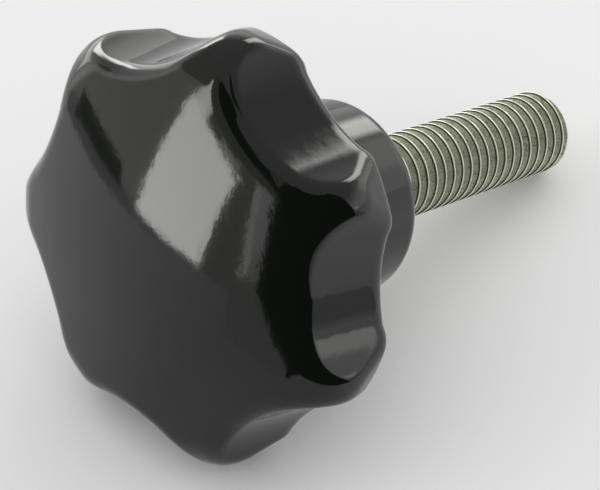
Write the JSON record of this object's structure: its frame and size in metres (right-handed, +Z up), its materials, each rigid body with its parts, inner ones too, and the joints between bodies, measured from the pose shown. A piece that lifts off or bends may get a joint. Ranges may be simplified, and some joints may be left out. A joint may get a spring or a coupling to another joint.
{
  "type": "lobed hand knob with threaded stud",
  "caption": "Hand knob with rounded lobes and a domed front, moulded in glossy black plastic with a round hub around a projecting threaded steel stud.",
  "frame": {"origin": "on the floor, under the middle of the lying knob's box", "axes": "+Z up, +X the way the stud points, seen from above; the knob lies on two lobes and the stud's tip"},
  "size_m": [0.0556, 0.0392, 0.0375],
  "materials": {
    "moulding": "glossy black thermoset",
    "stud": "zinc plated, lightly tarnished"
  },
  "bodies": {
    "root": {"knob_head": "moulding", "threaded_stud": "stud"}
  },
  "joints": []
}
